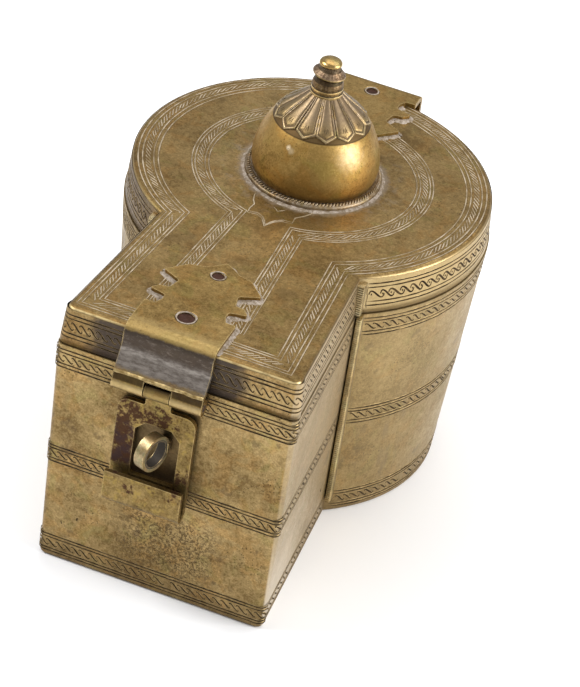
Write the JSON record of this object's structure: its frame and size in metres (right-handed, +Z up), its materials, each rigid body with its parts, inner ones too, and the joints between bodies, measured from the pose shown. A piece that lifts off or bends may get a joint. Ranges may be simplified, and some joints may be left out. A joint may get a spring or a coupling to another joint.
{
  "type": "lingam box",
  "caption": "Keyhole-shaped lidded metal box with a domed lid, petal cap and finial, hinged at the back and held shut by a hasp over a staple at the front.",
  "frame": {"origin": "centre of the round chamber on the underside of the base", "axes": "+Z up, -Y towards the spout and hasp, +X to the right seen from the front"},
  "size_m": [0.0918, 0.1487, 0.1087],
  "materials": {
    "brass_sheet": "aged, engraved, dull",
    "brass_dome": "aged, rubbed bright",
    "brass_fittings": "aged, worn edges",
    "copper_rivets": "dark patinated copper",
    "iron_pins": "dark, rusted"
  },
  "bodies": {
    "body": {"base_plate": "brass_sheet", "round_wall": "brass_sheet", "spout_wall": "brass_sheet", "seat_collar": "brass_sheet", "corner_strip_right": "brass_sheet", "corner_strip_left": "brass_sheet", "hasp_staple": "brass_fittings", "rear_leaf": "brass_fittings", "rear_leaf_rivets": "copper_rivets", "rear_hinge_pin": "iron_pins"},
    "lid": {"lid_plate": "brass_sheet", "lid_round_skirt": "brass_sheet", "lid_spout_skirt": "brass_sheet", "lid_corner_strip_right": "brass_sheet", "lid_corner_strip_left": "brass_sheet", "dome": "brass_dome", "dome_ring": "brass_dome", "petal_cap": "brass_dome", "finial": "brass_dome", "front_strap": "brass_fittings", "front_strap_near_rivet": "copper_rivets", "front_strap_far_rivet": "copper_rivets", "rear_strap": "brass_fittings", "rear_strap_edge_rivet": "copper_rivets", "rear_strap_inner_rivet": "copper_rivets", "hasp_pin": "iron_pins"},
    "hasp": {"hasp_plate": "brass_fittings"}
  },
  "joints": [
    {"name": "lid_hinge", "type": "hinge", "parent": "body", "child": "lid", "pos_m": [-0.0003, 0.05095, 0.0613], "axis": [-1, 0, 0], "range_deg": [0, 110]},
    {"name": "hasp_swing", "type": "hinge", "parent": "lid", "child": "hasp", "pos_m": [-0.0028, -0.08855, 0.0613], "axis": [-1, 0, 0], "range_deg": [0, 140]}
  ]
}
